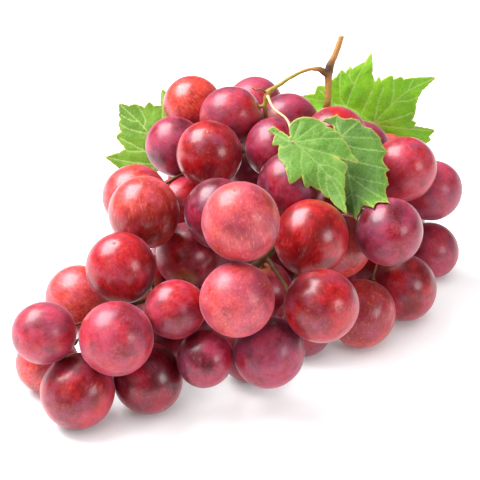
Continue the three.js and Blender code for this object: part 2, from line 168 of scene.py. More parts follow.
LEAVES = {
    "leaf_rear": {
        "sway": 0.007,
        "fold": 0,
        "tones": ((0.14, 0.38, 0.003), (0.22, 0.49, 0.006)),
        "outline": [
            (-2, -3), (-4, -8), (0, -10), (4, -14), (6, -11), (11, -13), (12, -10), (16, -12.5),
            (18, -10), (23, -10.5), (22, -8), (24.5, -6.5), (23.5, -5), (26, -2.5), (21.5, -1.5),
            (17, -1), (18, 0.5), (16, 1.5), (17.5, 5.5), (17.5, 8), (18.5, 11), (20, 13.8),
            (23, 16.8), (25.5, 19.3), (16.5, 19), (12, 18.2), (11, 19.5), (7.7, 18), (7, 20),
            (2.6, 17.5), (1.5, 19.5), (0, 16.5), (-1.5, 20.5), (-2.4, 26), (-3.2, 29.3),
            (-5, 25.5), (-10, 22.5), (-10.9, 23.8), (-12.5, 21), (-14.3, 22.3), (-16, 19.5),
            (-20, 15.4), (-23.5, 15.8), (-24.5, 12.5), (-30, 11.7), (-27, 8.5), (-28, 4.5),
            (-23, 3), (-23.5, -2), (-17, -4), (-10, -4),
        ],
        "veins": [
            [(0, 0), (7, 7.5), (14, 13.5), (25, 19)],
            [(0, 0), (2, 9.5), (4, 15.5)],
            [(0, 0), (10, 2.5), (17, 5)],
            [(0, 0), (10, -1.5), (25, -2.7)],
            [(0, 0), (8, -5.5), (21.5, -10)],
            [(0, 0), (2, -6), (4, -13)],
            [(0, 0), (-5.4, 3.3), (-11.6, 7), (-29.5, 11.5)],
            [(-5.4, 3.3), (-2.5, 10), (-0.5, 14)],
            [(-11.6, 7), (-8.5, 16), (-5.3, 24), (-3.4, 28.7)],
            [(-11.6, 7), (-14, 11), (-14.5, 21.5)],
            [(-16, 8.5), (-20, 11), (-23, 15)],
            [(-8, 5), (-16, 3), (-23, -1)],
            [(7, 7.5), (8, 13), (7.5, 19)],
            [(14, 13.5), (15, 16), (16, 18.6)],
            [(8.5, 9), (14, 9.5), (18, 11)],
            [(-8.5, 16), (-10.5, 19), (-10.8, 23)],
        ],
    },
    "leaf_left": {
        "sway": 0,
        "fold": 0,
        "tones": ((0.085, 0.22, 0.002), (0.15, 0.32, 0.006)),
        "outline": [
            (2, -2), (5, -4), (8, -3), (7, 1), (10, 4), (8, 9), (10, 14), (7, 17), (8, 22),
            (4.5, 25), (3.6, 29.7), (1.6, 31), (1.2, 24.1), (-1.6, 24.1), (-3.6, 25.7),
            (-5.6, 23.3), (-9.6, 24.9), (-12, 24), (-16, 25.2), (-15.8, 21.3), (-16.3, 20.6),
            (-15.3, 18.5), (-16.2, 17), (-14.9, 13.3), (-17, 11.3), (-14, 7.6), (-13.3, 6),
            (-15.7, 4.6), (-18.9, 3.7), (-21.5, 3), (-19.3, 1.2), (-17.3, -0.4), (-15.3, -2),
            (-13, -4), (-14, -7), (-9, -7), (-8, -11), (-4, -8), (-3, -11), (0, -8), (0, -3),
        ],
        "veins": [
            [(0, 0), (-3.2, 12), (-15.5, 24.7)],
            [(0, 0), (1.5, 12), (2, 22), (2, 30)],
            [(-5.6, 15), (-5.2, 18.5), (-8.5, 24.3)],
            [(-3.4, 12.2), (-12, 14.5), (-16, 17)],
            [(0, 0), (-5.2, 5.2), (-8.8, 7.2), (-16, 11)],
            [(-5.2, 5.2), (-9, 5), (-13, 5.5)],
            [(0, 0), (-8.8, 0.4), (-20.5, 2.7)],
            [(0, 0), (-6, -4), (-13.5, -6.7)],
            [(0, 0), (-4, -5), (-7.7, -10.5)],
            [(0, 0), (5, 8), (9.5, 13.5)],
            [(0, 0), (5, 2), (9.5, 4)],
            [(1.5, 12), (4, 17), (7.5, 21.5)],
            [(-8, 17.5), (-11, 18), (-15.5, 20.5)],
        ],
    },
    "leaf_front_light": {
        "sway": 0,
        "fold": -0.22,
        "tones": ((0.070, 0.20, 0.008), (0.15, 0.32, 0.038)),
        "outline": [
            (-1.4, 2.2), (-4.8, 4.6), (-7, 6.3), (-9.2, 4.9), (-6.3, 3.1), (-7.4, -0.7),
            (-4.8, -0.9), (-5.2, -5.5), (-2.6, -8.8), (-1.1, -15.5), (3.3, -12.1), (4.8, -16.9),
            (6.6, -15.8), (10.3, -17.9), (12.3, -20.6), (13.6, -20.6), (15.8, -23.8),
            (17.6, -25.2), (19.3, -26.6), (18.8, -23), (18.6, -17.5), (18.8, -12.1), (20, -8.6),
            (15, -5.2), (20.6, -6.6), (24.6, -7.7), (21.7, -4.4), (19.1, 0.7), (16.2, 4.4),
            (12.9, 5.9), (10.7, 8.1), (6.3, 9.6), (3.3, 9.6), (1.1, 8.8), (-0.9, 7), (-0.8, 2.6),
        ],
        "veins": [
            [(0, 0), (2, -1.1), (9.4, -8.1), (15.6, -16.2), (18.2, -22.4), (19.2, -26)],
            [(0, 0), (10, 1.5), (18.6, 1.5)],
            [(2, -1.1), (12, -4), (24, -7.4)],
            [(0, 0), (-1, -7), (-1, -14.5)],
            [(3.5, -2.5), (3.2, -9), (4.8, -16)],
            [(0, 0), (-3.5, 2), (-8.7, 4.9)],
            [(0, 0), (-3.5, -1.5), (-7, -0.8)],
            [(9.4, -8.1), (9.2, -13), (10.2, -17.2)],
            [(12.5, -12), (12.3, -16), (13.5, -20)],
            [(9.4, -8.1), (14, -9), (18.5, -12)],
            [(12.5, -12), (16, -14), (18.4, -17.3)],
            [(0, 0), (5, 4), (10.3, 7.6)],
            [(0, 0), (1.5, 4), (3.2, 9)],
            [(-1, -7), (-3, -7), (-4.5, -6)],
            [(10, 1.5), (13, 4), (15.7, 4.2)],
        ],
    },
    "leaf_front_dark": {
        "sway": 0,
        "fold": -0.12,
        "tones": ((0.034, 0.11, 0.002), (0.080, 0.20, 0.010)),
        "outline": [
            (-3, 4), (-7.4, 6), (-6, 7.4), (-1.5, 8.9), (0.7, 7.1), (4, 7.4), (7.1, 6.7),
            (8.6, 4.1), (11.5, 3.3), (13.4, 1.1), (14.9, -0.7), (15.3, -3), (17.5, -6),
            (16, -7.4), (15.3, -9.3), (17.9, -13), (16, -14.1), (16.7, -16), (17.1, -18.6),
            (16, -19.7), (15.6, -22.7), (16.4, -26), (11.5, -25.7), (10.4, -27.9), (7.4, -26.4),
            (4.5, -32), (0.7, -28.6), (-2, -24), (-5, -22), (-4, -16), (-7, -13), (-6.5, -9),
            (-9, -6), (-6, -3), (-9, 0), (-6, 2), (-3, 2.6),
        ],
        "veins": [
            [(0, 0), (0.8, -6), (1.9, -13), (3.3, -22), (4.5, -31)],
            [(0, 0), (4.1, 3.7), (7, 6)],
            [(0, 0), (-1.5, 4), (-1.5, 8)],
            [(0, 0), (-3, 2.5), (-6.5, 6)],
            [(0.4, -3), (6, -4.6), (16.5, -6)],
            [(0, 0), (7, -0.5), (14.5, -1)],
            [(1.2, -8.5), (6, -10), (17, -12.8)],
            [(2.2, -15), (9, -17), (16.4, -18.8)],
            [(2.2, -15), (9, -20.5), (16, -25.5)],
            [(3.3, -22), (7, -24), (10.2, -27)],
            [(1.5, -11), (-3, -14), (-4.5, -20)],
            [(0.8, -6), (-3, -7), (-8, -6)],
            [(0, 0), (-4, 0), (-8, 0)],
            [(3.3, -22), (0.5, -25), (0.7, -28)],
        ],
    },
}

# Of each leaf, in mm from the plan's own origin: where its veins meet, the side that it lies on of
# the berries (1 is in front of them), and the route of its stalk.
LEAF_STALKS = {
    "leaf_rear": ((90, 44, 48), -1, [(78, 44, 53), (66, 38, 58), (57, 31, 66)]),
    "leaf_left": ((1, 69, 41), -1, [(0, 62, 41), (1, 54, 42), (4, 46, 45)]),
    "leaf_front_light": ((21, -3, 77), 1, [(24, 4, 80), (27, 12, 79.5), (29, 24, 78), (31, 32, 79.5)]),
    "leaf_front_dark": ((44, -1, 73), 1, [(38, 6, 72), (37, 14, 68), (37, 15, 58), (39, 16, 51)]),
}
PLAN_SHIFT = Vector((-9.43, -11.23, 0.0))     # mm, from the plan's own origin to the frame's

# ---------------------------------------------------------------- numbers from the frame


def node_points(name):
    """The different corners of a CAD node, one row each."""
    found = np.array([v.co for v in frame["nodes"][name].data.vertices], float)
    return np.unique(np.round(found, 7), axis=0)


def slot_of(name):
    """The material slot that the record gives a node."""
    return next(row["material_slot"] for row in frame["record"]["subparts"] if row["node"] == name)


def read_berries():
    """Where each berry is, how wide, and the way to its stalk, worked out from its CAD node."""
    stem_points = node_points("stem")
    found = []
    for name in sorted(n for n in frame["nodes"] if n.startswith("berry_")):
        points = node_points(name)
        centre = (points.max(0) + points.min(0)) / 2
        axis = np.linalg.eigh(np.cov((points - centre).T))[1][:, -1]
        lean = (points - centre) @ axis
        flat = points - centre - np.outer(lean, axis)
        width = np.sqrt((flat ** 2).sum(1) + (lean / BERRY_STRETCH) ** 2).mean()
        pole = axis * width * BERRY_STRETCH
        near = [np.linalg.norm(stem_points - centre - side * pole, axis=1).min() for side in (1, -1)]
        if near[0] > near[1]:
            axis = -axis
        found.append({"name": name, "centre": centre, "axis": axis, "across": width})
    return found


berries = read_berries()

# ---------------------------------------------------------------- shader nodes


class Tree:
    """A node tree, with short ways to add nodes to it. An input is a number, a colour or a socket."""

    def __init__(self, tree):
        self.tree = tree

    def node(self, kind, inputs=None, **settings):
        made = self.tree.nodes.new(kind)
        for name, value in settings.items():
            setattr(made, name, value)
        for key, value in (inputs or {}).items():
            self.feed(made.inputs[key], value)
        return made

    def feed(self, socket, value):
        if isinstance(value, bpy.types.NodeSocket):
            self.tree.links.new(value, socket)
        elif socket.type == "RGBA":
            socket.default_value = (*value, 1)
        else:
            socket.default_value = value

    def maths(self, operation, a, b=0.0):
        return self.node("ShaderNodeMath", {0: a, 1: b}, operation=operation).outputs[0]

    def add(self, a, b):
        return self.maths("ADD", a, b)

    def times(self, a, b):
        return self.maths("MULTIPLY", a, b)

    def stretch(self, vector, by):
        made = self.node("ShaderNodeVectorMath", {0: vector, 1: by}, operation="MULTIPLY")
        return made.outputs[0]

    def remap(self, value, low, high, to_low=0.0, to_high=1.0):
        inputs = {0: value, 1: low, 2: high, 3: to_low, 4: to_high}
        made = self.node("ShaderNodeMapRange", inputs, interpolation_type="SMOOTHSTEP")
        return made.outputs[0]

    def mix(self, share, a, b):
        return self.node("ShaderNodeMix", {0: share, 6: a, 7: b}, data_type="RGBA").outputs[2]

    def noise(self, vector, scale, detail=2.0, roughness=0.5, seed=0.0):
        inputs = {"Vector": vector, "Scale": scale, "Detail": detail, "Roughness": roughness, "W": seed}
        return self.node("ShaderNodeTexNoise", inputs, noise_dimensions="4D").outputs[0]

    def cells(self, vector, scale, feature="F1", output="Distance"):
        inputs = {"Vector": vector, "Scale": scale}
        return self.node("ShaderNodeTexVoronoi", inputs, feature=feature).outputs[output]

    def bump(self, height, distance, strength=1.0):
        inputs = {"Height": height, "Distance": distance, "Strength": strength}
        return self.node("ShaderNodeBump", inputs).outputs[0]

    def attribute(self, name, output="Fac"):
        return self.node("ShaderNodeAttribute", attribute_name=name).outputs[output]

    def parts(self, vector):
        return self.node("ShaderNodeSeparateXYZ", {0: vector}).outputs


def new_material(name):
    """A material with one Principled shader: (material, its tree, the shader)."""
    material = bpy.data.materials.new(name)
    material.use_nodes = True
    return material, Tree(material.node_tree), material.node_tree.nodes["Principled BSDF"]


def set_sockets(shader, values):
    for label, value in values.items():
        shader.inputs[label].default_value = value


def new_group(name, inputs, outputs):
    """A node group: (group, its tree, its inputs' sockets, its output node)."""
    group = bpy.data.node_groups.new(name, "ShaderNodeTree")
    for label, kind in inputs.items():
        group.interface.new_socket(label, in_out="INPUT", socket_type=kind)
    for label, kind in outputs.items():
        group.interface.new_socket(label, in_out="OUTPUT", socket_type=kind)
    tree = Tree(group)
    return group, tree, tree.node("NodeGroupInput").outputs, tree.node("NodeGroupOutput")


# ---------------------------------------------------------------- materials


def skin_group():
    """The skin of one berry: flecked, streaked from pole to pole, and dusted with a waxy bloom."""
    group, tree, given, result = new_group(
        "grape_skin",
        {"Deep": "NodeSocketColor", "Usual": "NodeSocketColor", "Pale": "NodeSocketColor",
         "Bloom": "NodeSocketFloat", "Seed": "NodeSocketFloat"},
        {"Color": "NodeSocketColor", "Roughness": "NodeSocketFloat", "Normal": "NodeSocketVector"})
    place = tree.attribute("skin", "Vector")
    seed = given["Seed"]
    along = tree.parts(place)[2]

    clouds = tree.noise(place, 1.2, 3, 0.55, seed)
    colour = tree.mix(tree.remap(clouds, 0.38, 0.58), given["Deep"], given["Usual"])

    blotches = tree.noise(place, 4.2, 6, 0.68, seed)
    colour = tree.mix(tree.remap(blotches, 0.52, 0.78, 0, 0.55), colour, given["Pale"])
    dark_blotches = tree.noise(place, 5.5, 5, 0.6, tree.add(seed, 7.0))
    colour = tree.mix(tree.remap(dark_blotches, 0.50, 0.68, 0, 0.65), colour, given["Deep"])

    combed = tree.stretch(place, (20.0, 20.0, 5.0))
    streaks = tree.noise(combed, 1.0, 4, 0.62, seed)
    colour = tree.mix(tree.remap(streaks, 0.53, 0.70, 0, 0.45), colour, given["Pale"])
    colour = tree.mix(tree.remap(streaks, 0.50, 0.36, 0, 0.6), colour, given["Deep"])

    fleck_size = tree.cells(place, 17.0)
    fleck_where = tree.noise(place, 6.0, 2, 0.5, tree.add(seed, 3.0))
    flecks = tree.times(tree.remap(fleck_size, 0.20, 0.07), tree.remap(fleck_where, 0.48, 0.6))
    colour = tree.mix(tree.times(flecks, 0.38), colour, given["Pale"])
    dark_flecks = tree.times(
        tree.remap(tree.cells(place, 23.0), 0.18, 0.06), tree.remap(fleck_where, 0.5, 0.4))
    colour = tree.mix(tree.times(dark_flecks, 0.5), colour, given["Deep"])

    dusty = tree.noise(place, 1.9, 6, 0.62, tree.add(seed, 11.0))
    dust = tree.remap(tree.add(dusty, tree.times(given["Bloom"], 0.36)), 0.52, 0.86)
    colour = tree.mix(tree.times(dust, 0.20), colour, BLOOM_TINT)

    neck = tree.remap(along, 0.86, 1.0)
    colour = tree.mix(tree.times(neck, 0.55), colour, NECK_TINT)
    rays = tree.noise(tree.stretch(place, (16.0, 16.0, 1.0)), 1.0, 2, 0.5, seed)
    tip = tree.times(tree.remap(along, -0.96, -1.0), tree.remap(rays, 0.45, 0.65))
    colour = tree.mix(tree.times(tip, 0.22), colour, RAY_TINT)
    scar = tree.remap(along, -0.9988, -0.9998)
    colour = tree.mix(tree.times(scar, 0.6), colour, SCAR_TINT)

    rough = tree.add(tree.times(dust, 0.14), 0.33)
    rough = tree.add(rough, tree.times(scar, 0.3))
    grain = tree.noise(place, 34.0, 3, 0.6, seed)
    height = tree.add(tree.times(grain, 0.5), tree.times(streaks, 0.5))
    tree.feed(result.inputs["Color"], colour)
    tree.feed(result.inputs["Roughness"], rough)
    tree.feed(result.inputs["Normal"], tree.bump(height, 0.05 * MM, 0.6))
    return group


def berry_material(name, slot, seed, group):
    material, tree, shader = new_material(f"skin_{name}")
    bloom = BLOOM.get(name, USUAL_BLOOM)
    deep, usual, pale = SKINS[slot]
    skin = tree.node("ShaderNodeGroup", node_tree=group)
    given = {"Deep": deep, "Usual": usual, "Pale": pale, "Bloom": bloom, "Seed": seed}
    for label, value in given.items():
        tree.feed(skin.inputs[label], value)
    tree.feed(shader.inputs["Base Color"], skin.outputs["Color"])
    tree.feed(shader.inputs["Roughness"], skin.outputs["Roughness"])
    tree.feed(shader.inputs["Normal"], skin.outputs["Normal"])
    set_sockets(shader, SKIN_SETTINGS)
    shader.inputs["Sheen Weight"].default_value = 0.06 + 0.36 * bloom
    shader.inputs["Coat Weight"].default_value = 0.30 - 0.22 * bloom
    return material


def stem_material():
    """Green where it is young, orange brown and woody where it is old, dark at its knots."""
    material, tree, shader = new_material("stem_bark")
    place = tree.attribute("place", "Vector")
    age = tree.attribute("age")
    knot = tree.attribute("knot")
    pith = tree.attribute("pith")
    broad = tree.noise(place, 220.0, 4, 0.6)
    fine = tree.noise(place, 1500.0, 4, 0.65)
    fibres = tree.noise(tree.stretch(place, (3200.0, 3200.0, 500.0)), 1.0, 3, 0.6)
    young = tree.mix(broad, *YOUNG_BARK)
    old = tree.mix(broad, *OLD_BARK)
    shifted = tree.add(age, tree.times(tree.maths("SUBTRACT", broad, 0.5), 0.7))
    colour = tree.mix(tree.remap(shifted, 0.25, 0.75), young, old)
    colour = tree.mix(tree.remap(fibres, 0.5, 0.75, 0, 0.45), colour, FIBRE_TINT)
    colour = tree.mix(tree.remap(fine, 0.55, 0.8, 0, 0.4), colour, DRY_TINT)
    # Painted shade: below INNER_HEIGHT the stem is darkened where the berries shade it, on top of its
    # dried brown.
    shade = tree.mix(broad, *INNER_BARK_DRY_AND_SHADED)
    colour = tree.mix(tree.attribute("inner"), colour, shade)
    colour = tree.mix(tree.times(knot, 0.92), colour, KNOT_TINT)
    colour = tree.mix(pith, colour, PITH_TINT)
    tree.feed(shader.inputs["Base Color"], colour)
    tree.feed(shader.inputs["Roughness"], tree.remap(fine, 0.3, 0.7, 0.50, 0.75))
    height = tree.add(tree.times(fibres, 0.6), fine)
    tree.feed(shader.inputs["Normal"], tree.bump(height, 0.12 * MM, 0.8))
    set_sockets(shader, STEM_SETTINGS)
    return material


def leaf_material(name, tones, vein_share, seed):
    """A thin blade with pale veins, a net of fine ones between them, and paler teeth."""
    material, tree, shader = new_material(f"blade_{name}")
    place = tree.attribute("blade", "Vector")
    vein = tree.attribute("vein")
    rim = tree.attribute("rim")
    stalk = tree.attribute("stalk")
    dark, light = tones
    broad = tree.noise(place, 0.11, 4, 0.6, seed)
    mottle = tree.noise(place, 0.9, 5, 0.65, seed)
    colour = tree.mix(tree.remap(broad, 0.35, 0.65), dark, light)
    colour = tree.mix(tree.remap(mottle, 0.5, 0.8, 0, 0.2), colour, light)
    colour = tree.mix(tree.remap(mottle, 0.5, 0.25, 0, 0.2), colour, dark)
    bent = tree.node("ShaderNodeVectorMath", {0: place, 1: tree.noise(place, 0.7, 2, 0.5, seed)},
                     operation="ADD").outputs[0]
    net = tree.remap(tree.cells(bent, 0.62, "DISTANCE_TO_EDGE"), 0.07, 0.0)
    net_fine = tree.remap(tree.cells(bent, 1.7, "DISTANCE_TO_EDGE"), 0.09, 0.0)
    pale = tuple(min(1.0, 1.5 * c + 0.03) for c in light)
    colour = tree.mix(tree.times(net, 0.35), colour, pale)
    colour = tree.mix(tree.times(net_fine, 0.2), colour, pale)
    colour = tree.mix(tree.times(vein, vein_share), colour, VEIN_TINT)
    colour = tree.mix(tree.times(rim, 0.55), colour, RIM_TINT)
    colour = tree.mix(stalk, colour, tree.mix(broad, *PETIOLE_TINTS))
    tree.feed(shader.inputs["Base Color"], colour)
    tree.feed(shader.inputs["Roughness"], tree.remap(mottle, 0.3, 0.7, 0.42, 0.56))
    fine = tree.noise(place, 3.5, 3, 0.6, seed)
    height = tree.maths("SUBTRACT", tree.times(fine, 0.5), tree.times(net, 0.6))
    height = tree.maths("SUBTRACT", height, tree.times(net_fine, 0.25))
    tree.feed(shader.inputs["Normal"], tree.bump(height, 0.14 * MM, 0.8))
    set_sockets(shader, LEAF_SETTINGS)
    return material


# ---------------------------------------------------------------- meshes


def new_object(name, points, faces):
    mesh = bpy.data.meshes.new(name)
    mesh.from_pydata([tuple(p) for p in points], [], faces)
    mesh.validate()
    mesh.polygons.foreach_set("use_smooth", [True] * len(mesh.polygons))
    made = bpy.data.objects.new(name, mesh)
    bpy.context.scene.collection.objects.link(made)
    return made


def write_numbers(mesh, name, values):
    layer = mesh.attributes.new(name, "FLOAT", "POINT")
    layer.data.foreach_set("value", np.asarray(values, np.float32))


def write_vectors(mesh, name, values):
    layer = mesh.attributes.new(name, "FLOAT_VECTOR", "POINT")
    layer.data.foreach_set("vector", np.asarray(values, np.float32).ravel())


def finish_piece(made, slot, *nodes):
    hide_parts(*nodes)
    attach(made, "root")


def tube(points, radii, sides=12):
    """Rings of points and faces of a closed round tube: (points, faces)."""
    points = [Vector(p) for p in points]
    side = Vector((0.31, 0.52, 0.79))
    rows, faces = [], []
    last = len(points) - 1
    for k, point in enumerate(points):
        along = (points[min(k + 1, last)] - points[max(k - 1, 0)]).normalized()
        side = (side - along * side.dot(along)).normalized()
        across = along.cross(side)
        for turn in np.linspace(0, 2 * math.pi, sides, endpoint=False):
            rows.append(point + float(radii[k]) * (side * math.cos(turn) + across * math.sin(turn)))
    for k in range(last):
        for i in range(sides):
            j = (i + 1) % sides
            faces.append((k * sides + i, k * sides + j, (k + 1) * sides + j, (k + 1) * sides + i))
    faces.append(tuple(reversed(range(sides))))
    faces.append(tuple(range(last * sides, last * sides + sides)))
    return rows, faces


def smooth_route(points, count):
    """Points along a smooth curve through the given ones."""
    given = [Vector(p) for p in points]
    given = [2 * given[0] - given[1]] + given + [2 * given[-1] - given[-2]]
    spans = len(given) - 3
    route = []
    for t in np.linspace(0, spans, count):
        k = min(int(t), spans - 1)
        f = t - k
        a, b, c, d = given[k:k + 4]
        route.append(0.5 * (2 * b + (c - a) * f + (2 * a - 5 * b + 4 * c - d) * f * f
                            + (3 * b - a - 3 * c + d) * f ** 3))
    return route


# ---------------------------------------------------------------- berries


def berry_shape(seed):
    """Points of a berry of radius 1 with its stalk at +Z, and its faces."""
    steps = np.linspace(0, 1, BERRY_RINGS + 1)[1:-1]
    tilt = math.pi * (steps - BERRY_POLES * np.sin(2 * math.pi * steps) / (2 * math.pi))
    turn = np.linspace(0, 2 * math.pi, BERRY_SEGMENTS, endpoint=False)
    points = [(0, 0, 1)]
    for a in tilt:
        for b in turn:
            points.append((math.sin(a) * math.cos(b), math.sin(a) * math.sin(b), math.cos(a)))
    points.append((0, 0, -1))
    unit = np.array(points)
    ring = len(tilt)
    faces = [(0, 1 + k, 1 + (k + 1) % BERRY_SEGMENTS) for k in range(BERRY_SEGMENTS)]
    for row in range(ring - 1):
        low = 1 + row * BERRY_SEGMENTS
        for k in range(BERRY_SEGMENTS):
            j = (k + 1) % BERRY_SEGMENTS
            faces.append((low + k, low + BERRY_SEGMENTS + k, low + BERRY_SEGMENTS + j, low + j))
    low = 1 + (ring - 1) * BERRY_SEGMENTS
    end = len(points) - 1
    faces += [(end, low + (k + 1) % BERRY_SEGMENTS, low + k) for k in range(BERRY_SEGMENTS)]

    shift = Vector((seed * 3.1, seed * 1.7, seed * 2.3))
    wobble = np.array([noise.noise(Vector(p) * 0.9 + shift) for p in unit])
    dimples = np.array([noise.noise(Vector(p) * 2.6 + shift) for p in unit])
    from_stalk = np.arccos(np.clip(unit[:, 2], -1, 1))
    from_tip = math.pi - from_stalk
    swell = 0.020 * wobble + 0.005 * dimples
    swell -= 0.050 * np.exp(-(from_stalk / 0.17) ** 2)
    swell -= 0.010 * np.exp(-(from_tip / 0.13) ** 2)
    swell += 0.008 * np.exp(-(from_tip / 0.035) ** 4)
    return unit, unit * (1 + swell)[:, None], faces


def make_berry(berry, index, group):
    seed = index + 1.0
    unit, shape, faces = berry_shape(seed)
    grown = berry["across"] + BERRY_PLUMP
    turn = Vector(berry["axis"]).to_track_quat("Z", "Y").to_matrix()
    placed = (shape * grown * (1, 1, BERRY_STRETCH)) @ np.array(turn).T + berry["centre"]
    placed[:, 2] = np.maximum(placed[:, 2], cad_box[0][2])
    made = new_object(f"grape_{berry['name'][6:]}", placed, faces)
    write_vectors(made.data, "skin", unit)
    slot = slot_of(berry["name"])
    made.data.materials.append(berry_material(berry["name"], slot, seed * 2.37, group))
    finish_piece(made, slot, berry["name"])


# ---------------------------------------------------------------- stem


def rounded_stem():
    """The CAD stem, remeshed and rounded off."""
    source = frame["nodes"]["stem"]
    rough = bpy.data.objects.new("stem_rough", source.data.copy())
    bpy.context.scene.collection.objects.link(rough)
    modifier = rough.modifiers.new("rounded", "REMESH")
    modifier.mode = "VOXEL"
    modifier.voxel_size = STEM_VOXEL
    modifier = rough.modifiers.new("soft", "SMOOTH")
    modifier.factor = 0.6
    modifier.iterations = 7
    graph = bpy.context.evaluated_depsgraph_get()
    mesh = bpy.data.meshes.new_from_object(rough.evaluated_get(graph))
    bpy.data.objects.remove(rough)
    return mesh


def make_stem():
    """The rounded stem with knots, a swollen arm, a dried twig, bark and a cut end."""
    mesh = rounded_stem()
    places = np.array([v.co for v in mesh.vertices], float)
    normals = np.array([v.normal for v in mesh.vertices], float)
    top = places[places[:, 2].argmax()]
    knot_place = top + np.array(KNOT_FROM_TOP) * MM
    knot = np.exp(-((places - knot_place) ** 2).sum(1) / KNOT_REACH ** 2)
    arm_end = np.exp(-((places / MM - ARM_END) ** 2).sum(1) / ARM_END_REACH ** 2)
    ripple = np.array([noise.fractal(Vector(p) * 900, 0.8, 2.0, 3) for p in places])
    ridges = np.array([noise.noise(Vector(p) * 420) for p in places])
    places += normals * (0.10 * ripple + 0.12 * ridges + 0.55 * knot + 0.45 * arm_end)[:, None] * MM

    route = smooth_route([Vector(p) * MM for p in TWIG], TWIG_STEPS)
    taper = 1 - 0.6 * np.linspace(0, 1, TWIG_STEPS)
    knobs = 0.12 * np.sin(np.arange(TWIG_STEPS) * 2.3)
    rows, twig_faces = tube(route, TWIG_RADIUS * MM * (taper + knobs), 8)
    faces = [tuple(p.vertices) for p in mesh.polygons]
    faces += [tuple(len(places) + k for k in f) for f in twig_faces]
    points = np.vstack([places, np.array([tuple(p) for p in rows])])
    made = new_object("stem_wood", points, faces)

    twig = np.arange(len(points)) >= len(places)
    height = points[:, 2]
    beside = np.linalg.norm((points - knot_place)[:, :2], axis=1)
    age = np.clip((height - 66 * MM) / (22 * MM), 0.15, 1) * np.clip(1.6 - beside / (9 * MM), 0.1, 1)
    swollen = np.concatenate([arm_end, np.zeros(len(rows))])
    dark = np.concatenate([np.clip(knot * 1.2, 0, 1), np.full(len(rows), 0.75)])
    write_vectors(made.data, "place", points)
    write_numbers(made.data, "age", np.maximum(age, 0.8 * swollen))
    # the mask of the dried brown and painted shade inside the bunch
    write_numbers(made.data, "inner", np.clip((INNER_HEIGHT - height) / (6 * MM), 0, 1))
    write_numbers(made.data, "knot", dark)
    write_numbers(made.data, "pith", np.clip((height - (top[2] - 0.9 * MM)) / (0.5 * MM), 0, 1) * ~twig)
    made.data.materials.append(stem_material())
    finish_piece(made, "stem", "stem")


# ---------------------------------------------------------------- leaves


def fine_outline(corners):
    """The outline with each side bowed out a little, in steps of about half a grid."""
    fine = []
    for k, here in enumerate(corners):
        here = np.array(here, float)
        there = np.array(corners[(k + 1) % len(corners)], float)
        side = there - here
        long = np.linalg.norm(side)
        out = np.array((side[1], -side[0])) / long
        steps = max(3, int(long / 0.35))
        bow = min(0.09 * long, 0.45)
        for t in np.linspace(0, 1, steps, endpoint=False):
            ripple = 0.10 * math.sin(3 * math.pi * t) * min(1.0, long / 4)
            fine.append(here + side * t + out * (bow * 4 * t * (1 - t) + ripple))
    return np.array(fine)


def distance_to(points, lines):
    """The distance of each point to the nearest of some lines, and how far along that line it is."""
    best = np.full(len(points), 1e9)
    share = np.zeros(len(points))
    for line in lines:
        lengths = [0.0]
        for a, b in zip(line[:-1], line[1:]):
            lengths.append(lengths[-1] + float(np.linalg.norm(b - a)))
        for k, (a, b) in enumerate(zip(line[:-1], line[1:])):
            side = b - a
            t = np.clip(((points - a) @ side) / max(side @ side, 1e-9), 0, 1)
            gap = np.linalg.norm(points - a - t[:, None] * side, axis=1)
            nearer = gap < best
            best[nearer] = gap[nearer]
            along = (lengths[k] + t * (lengths[k + 1] - lengths[k])) / lengths[-1]
            share[nearer] = along[nearer]
    return best, share


def vein_lines(leaf):
    """Each vein as a smooth line of points in the plane."""
    lines = []
    for vein in leaf["veins"]:
        route = smooth_route([(*p, 0) for p in vein], 5 * len(vein))
        lines.append(np.array([(p.x, p.y) for p in route]))
    return lines


def blade_plane(leaf, rim, veins):
    """Points and triangles that fill an outline: a grid of points, and more of them on the veins."""
    low, high = rim.min(0), rim.max(0)
    on_veins = []
    for line in veins:
        for a, b in zip(line[:-1], line[1:]):
            steps = max(1, int(np.linalg.norm(b - a) / LEAF_GRID))
            on_veins += [a + (b - a) * t for t in np.linspace(0, 1, steps, endpoint=False)]
    on_veins = np.array(on_veins)
    grid = []
    row = 0
    up = low[1]
    while up < high[1]:
        shift = LEAF_GRID / 2 * (row % 2)
        grid += [(across, up) for across in np.arange(low[0] + shift, high[0], LEAF_GRID)]
        up += LEAF_GRID * 0.866
        row += 1
    grid = np.array(grid)
    closed = np.vstack([rim, rim[:1]])
    from_rim, _ = distance_to(grid, [closed])
    from_vein, _ = distance_to(grid, veins)
    grid = grid[(from_rim > LEAF_GRID * 0.45) & (from_vein > LEAF_GRID * 0.45)]
    rim_gap, _ = distance_to(on_veins, [closed])
    on_veins = on_veins[rim_gap > LEAF_GRID * 0.45]
    points = np.vstack([rim, on_veins, grid])
    edges = [(k, (k + 1) % len(rim)) for k in range(len(rim))]
    made = geometry.delaunay_2d_cdt([Vector(p) for p in points], edges, [], 1, 1e-4)
    used = sorted({k for face in made[2] for k in face})
    number = {old: new for new, old in enumerate(used)}
    flat = np.array([tuple(made[0][k]) for k in used])
    return flat, [tuple(number[k] for k in face) for face in made[2]]


def neighbours(count, faces):
    """Pairs of points that share a triangle's side, as two lists."""
    pairs = set()
    for a, b, c in faces:
        pairs.update({(a, b), (b, a), (b, c), (c, b), (c, a), (a, c)})
    pairs = np.array(sorted(pairs))
    return pairs[:, 0], pairs[:, 1], np.bincount(pairs[:, 0], minlength=count).astype(float)


